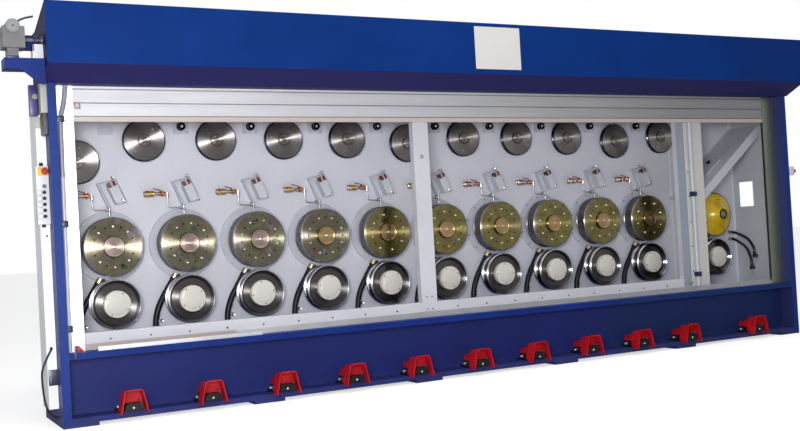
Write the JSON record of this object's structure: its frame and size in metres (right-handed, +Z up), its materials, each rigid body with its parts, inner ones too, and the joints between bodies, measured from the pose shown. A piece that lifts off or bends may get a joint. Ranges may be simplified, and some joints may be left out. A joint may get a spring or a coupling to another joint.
{
  "type": "wire drawing machine",
  "caption": "Straight-line wire drawing machine: a long blue cabinet with a row of drawing blocks and pulleys in an open front bay, hood above, foot switches below.",
  "frame": {"origin": "on the floor, at the middle of the overall length and depth", "axes": "+X along the machine towards the wire's exit end, +Y towards its back, +Z up"},
  "size_m": [6.543, 1.2, 2.5139],
  "materials": {
    "blue_paint": "satin",
    "pale_grey_paint": "satin",
    "cream_paint": "satin",
    "aluminium_strip": "satin",
    "plate_steel": "satin",
    "brass": "satin",
    "black_plastic": "matte",
    "steel": "satin",
    "red_paint": "satin",
    "grey_paint": "satin",
    "hose_rubber": "matte",
    "yellow_paint": "satin"
  },
  "bodies": {
    "frame": {"base_plinth": "blue_paint", "base_feet": "blue_paint", "corner_posts": "blue_paint", "shutter_guides": "pale_grey_paint", "roller_shutter": "pale_grey_paint", "back_wall": "cream_paint", "end_walls": "cream_paint", "bottom_rail": "pale_grey_paint", "sill_strips": "aluminium_strip", "mullions": "pale_grey_paint", "hood": "blue_paint", "hood_plate": "plate_steel", "rear_housing": "blue_paint", "bearing_flanges": "cream_paint", "die_holders": "pale_grey_paint", "water_valves": "brass", "nozzles": "black_plastic", "hose_fittings": "steel", "pedal_guards": "red_paint", "pedal_bases": "black_plastic", "wire_deflector": "pale_grey_paint", "cable_duct": "pale_grey_paint", "control_boxes": "pale_grey_paint", "drive_shelf": "blue_paint", "shutter_drive": "grey_paint", "hoses": "hose_rubber", "conduits": "pale_grey_paint"},
    "block_01_body": {"block_01": "steel"},
    "lower_pulley_01_body": {"lower_pulley_01": "steel"},
    "block_02_body": {"block_02": "steel"},
    "lower_pulley_02_body": {"lower_pulley_02": "steel"},
    "block_03_body": {"block_03": "steel"},
    "lower_pulley_03_body": {"lower_pulley_03": "steel"},
    "block_04_body": {"block_04": "steel"},
    "lower_pulley_04_body": {"lower_pulley_04": "steel"},
    "block_05_body": {"block_05": "steel"},
    "lower_pulley_05_body": {"lower_pulley_05": "steel"},
    "block_06_body": {"block_06": "steel"},
    "lower_pulley_06_body": {"lower_pulley_06": "steel"},
    "block_07_body": {"block_07": "steel"},
    "lower_pulley_07_body": {"lower_pulley_07": "steel"},
    "block_08_body": {"block_08": "steel"},
    "lower_pulley_08_body": {"lower_pulley_08": "steel"},
    "block_09_body": {"block_09": "steel"},
    "lower_pulley_09_body": {"lower_pulley_09": "steel"},
    "block_10_body": {"block_10": "steel"},
    "lower_pulley_10_body": {"lower_pulley_10": "steel"},
    "block_11_body": {"block_11": "yellow_paint"},
    "lower_pulley_11_body": {"lower_pulley_11": "steel"},
    "upper_pulley_00_body": {"upper_pulley_00": "steel"},
    "upper_pulley_01_body": {"upper_pulley_01": "steel"},
    "upper_pulley_02_body": {"upper_pulley_02": "steel"},
    "upper_pulley_03_body": {"upper_pulley_03": "steel"},
    "upper_pulley_04_body": {"upper_pulley_04": "steel"},
    "upper_pulley_05_body": {"upper_pulley_05": "steel"},
    "upper_pulley_06_body": {"upper_pulley_06": "steel"},
    "upper_pulley_07_body": {"upper_pulley_07": "steel"},
    "upper_pulley_08_body": {"upper_pulley_08": "steel"},
    "upper_pulley_09_body": {"upper_pulley_09": "steel"},
    "upper_pulley_10_body": {"upper_pulley_10": "steel"}
  },
  "joints": [
    {"name": "block_spin_01", "type": "hinge", "parent": "frame", "child": "block_01_body", "pos_m": [-2.5665, 0.1, 1.064], "axis": [0, 1, 0], "continuous": true},
    {"name": "lower_pulley_spin_01", "type": "hinge", "parent": "frame", "child": "lower_pulley_01_body", "pos_m": [-2.5665, 0.1, 0.693], "axis": [0, 1, 0], "continuous": true},
    {"name": "block_spin_02", "type": "hinge", "parent": "frame", "child": "block_02_body", "pos_m": [-2.0665, 0.1, 1.064], "axis": [0, 1, 0], "continuous": true},
    {"name": "lower_pulley_spin_02", "type": "hinge", "parent": "frame", "child": "lower_pulley_02_body", "pos_m": [-2.0665, 0.1, 0.693], "axis": [0, 1, 0], "continuous": true},
    {"name": "block_spin_03", "type": "hinge", "parent": "frame", "child": "block_03_body", "pos_m": [-1.5665, 0.1, 1.064], "axis": [0, 1, 0], "continuous": true},
    {"name": "lower_pulley_spin_03", "type": "hinge", "parent": "frame", "child": "lower_pulley_03_body", "pos_m": [-1.5665, 0.1, 0.693], "axis": [0, 1, 0], "continuous": true},
    {"name": "block_spin_04", "type": "hinge", "parent": "frame", "child": "block_04_body", "pos_m": [-1.0665, 0.1, 1.064], "axis": [0, 1, 0], "continuous": true},
    {"name": "lower_pulley_spin_04", "type": "hinge", "parent": "frame", "child": "lower_pulley_04_body", "pos_m": [-1.0665, 0.1, 0.693], "axis": [0, 1, 0], "continuous": true},
    {"name": "block_spin_05", "type": "hinge", "parent": "frame", "child": "block_05_body", "pos_m": [-0.5665, 0.1, 1.064], "axis": [0, 1, 0], "continuous": true},
    {"name": "lower_pulley_spin_05", "type": "hinge", "parent": "frame", "child": "lower_pulley_05_body", "pos_m": [-0.5665, 0.1, 0.693], "axis": [0, 1, 0], "continuous": true},
    {"name": "block_spin_06", "type": "hinge", "parent": "frame", "child": "block_06_body", "pos_m": [-0.0665, 0.1, 1.064], "axis": [0, 1, 0], "continuous": true},
    {"name": "lower_pulley_spin_06", "type": "hinge", "parent": "frame", "child": "lower_pulley_06_body", "pos_m": [-0.0665, 0.1, 0.693], "axis": [0, 1, 0], "continuous": true},
    {"name": "block_spin_07", "type": "hinge", "parent": "frame", "child": "block_07_body", "pos_m": [0.4335, 0.1, 1.064], "axis": [0, 1, 0], "continuous": true},
    {"name": "lower_pulley_spin_07", "type": "hinge", "parent": "frame", "child": "lower_pulley_07_body", "pos_m": [0.4335, 0.1, 0.693], "axis": [0, 1, 0], "continuous": true},
    {"name": "block_spin_08", "type": "hinge", "parent": "frame", "child": "block_08_body", "pos_m": [0.9335, 0.1, 1.064], "axis": [0, 1, 0], "continuous": true},
    {"name": "lower_pulley_spin_08", "type": "hinge", "parent": "frame", "child": "lower_pulley_08_body", "pos_m": [0.9335, 0.1, 0.693], "axis": [0, 1, 0], "continuous": true},
    {"name": "block_spin_09", "type": "hinge", "parent": "frame", "child": "block_09_body", "pos_m": [1.4335, 0.1, 1.064], "axis": [0, 1, 0], "continuous": true},
    {"name": "lower_pulley_spin_09", "type": "hinge", "parent": "frame", "child": "lower_pulley_09_body", "pos_m": [1.4335, 0.1, 0.693], "axis": [0, 1, 0], "continuous": true},
    {"name": "block_spin_10", "type": "hinge", "parent": "frame", "child": "block_10_body", "pos_m": [1.9335, 0.1, 1.064], "axis": [0, 1, 0], "continuous": true},
    {"name": "lower_pulley_spin_10", "type": "hinge", "parent": "frame", "child": "lower_pulley_10_body", "pos_m": [1.9335, 0.1, 0.693], "axis": [0, 1, 0], "continuous": true},
    {"name": "block_spin_11", "type": "hinge", "parent": "frame", "child": "block_11_body", "pos_m": [2.6835, 0.1, 1.064], "axis": [0, 1, 0], "continuous": true},
    {"name": "lower_pulley_spin_11", "type": "hinge", "parent": "frame", "child": "lower_pulley_11_body", "pos_m": [2.6835, 0.1, 0.693], "axis": [0, 1, 0], "continuous": true},
    {"name": "upper_pulley_spin_00", "type": "hinge", "parent": "frame", "child": "upper_pulley_00_body", "pos_m": [-2.7515, 0.12, 1.624], "axis": [0, 1, 0], "continuous": true},
    {"name": "upper_pulley_spin_01", "type": "hinge", "parent": "frame", "child": "upper_pulley_01_body", "pos_m": [-2.3095, 0.12, 1.764], "axis": [0, 1, 0], "continuous": true},
    {"name": "upper_pulley_spin_02", "type": "hinge", "parent": "frame", "child": "upper_pulley_02_body", "pos_m": [-1.8095, 0.12, 1.764], "axis": [0, 1, 0], "continuous": true},
    {"name": "upper_pulley_spin_03", "type": "hinge", "parent": "frame", "child": "upper_pulley_03_body", "pos_m": [-1.3095, 0.12, 1.764], "axis": [0, 1, 0], "continuous": true},
    {"name": "upper_pulley_spin_04", "type": "hinge", "parent": "frame", "child": "upper_pulley_04_body", "pos_m": [-0.8095, 0.12, 1.764], "axis": [0, 1, 0], "continuous": true},
    {"name": "upper_pulley_spin_05", "type": "hinge", "parent": "frame", "child": "upper_pulley_05_body", "pos_m": [-0.3095, 0.12, 1.729], "axis": [0, 1, 0], "continuous": true},
    {"name": "upper_pulley_spin_06", "type": "hinge", "parent": "frame", "child": "upper_pulley_06_body", "pos_m": [0.1905, 0.12, 1.764], "axis": [0, 1, 0], "continuous": true},
    {"name": "upper_pulley_spin_07", "type": "hinge", "parent": "frame", "child": "upper_pulley_07_body", "pos_m": [0.6905, 0.12, 1.764], "axis": [0, 1, 0], "continuous": true},
    {"name": "upper_pulley_spin_08", "type": "hinge", "parent": "frame", "child": "upper_pulley_08_body", "pos_m": [1.1905, 0.12, 1.764], "axis": [0, 1, 0], "continuous": true},
    {"name": "upper_pulley_spin_09", "type": "hinge", "parent": "frame", "child": "upper_pulley_09_body", "pos_m": [1.6905, 0.12, 1.729], "axis": [0, 1, 0], "continuous": true},
    {"name": "upper_pulley_spin_10", "type": "hinge", "parent": "frame", "child": "upper_pulley_10_body", "pos_m": [2.1905, 0.12, 1.764], "axis": [0, 1, 0], "continuous": true}
  ]
}
